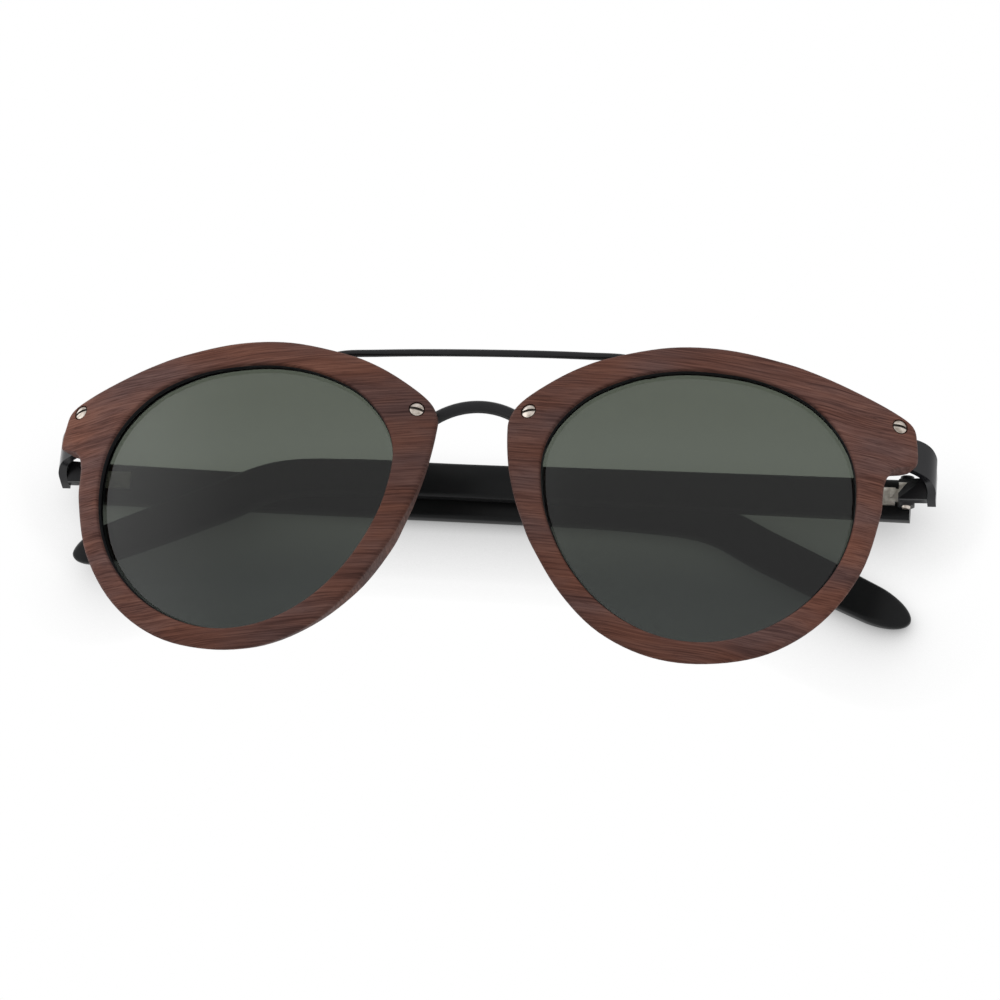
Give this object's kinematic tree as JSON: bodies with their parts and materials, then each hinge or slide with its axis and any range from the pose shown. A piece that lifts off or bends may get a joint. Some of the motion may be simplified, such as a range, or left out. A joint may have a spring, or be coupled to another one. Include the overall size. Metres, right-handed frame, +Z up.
{
  "type": "folding sunglasses",
  "caption": "Folding sunglasses with domed wooden rims over metal eyewires, tinted lenses, an arched bridge, a top bar and hinged black temples with ear hooks.",
  "frame": {"origin": "on the table under the middle of the folded sunglasses", "axes": "+X to the viewer's right along the front, +Y to the brow, +Z up out of the front"},
  "size_m": [0.1506, 0.0541, 0.0298],
  "materials": {
    "rosewood": "satin, fine dark grain",
    "black_metal": "satin black",
    "tinted_lens": "green-grey tint, polished",
    "steel": "bright",
    "black_acetate": "polished"
  },
  "bodies": {
    "front": {"rim_left": "rosewood", "rim_right": "rosewood", "eyewire_left": "black_metal", "eyewire_right": "black_metal", "lens_left": "tinted_lens", "lens_right": "tinted_lens", "nose_bridge": "black_metal", "top_bar": "black_metal", "nose_screw_left": "steel", "nose_screw_right": "steel", "lobe_screw_left": "steel", "lobe_screw_right": "steel", "bar_screw_left": "steel", "bar_screw_right": "steel", "endpiece_left": "black_metal", "endpiece_right": "black_metal", "hinge_block_left": "black_metal", "hinge_block_right": "black_metal", "hinge_screw_left": "steel", "hinge_screw_right": "steel"},
    "left_temple": {"temple_hinge_left": "steel", "temple_left": "black_acetate", "core_wire_left": "steel"},
    "right_temple": {"temple_hinge_right": "steel", "temple_right": "black_acetate", "core_wire_right": "steel"}
  },
  "joints": [
    {"name": "left_temple_hinge", "type": "hinge", "parent": "front", "child": "left_temple", "pos_m": [-0.07008, 0.0085, 0.005], "axis": [0, 1, 0], "range_deg": [0, 92.6]},
    {"name": "right_temple_hinge", "type": "hinge", "parent": "front", "child": "right_temple", "pos_m": [0.07028, 0.0085, 0.00843], "axis": [0, -1, 0], "range_deg": [0, 95.4]}
  ]
}
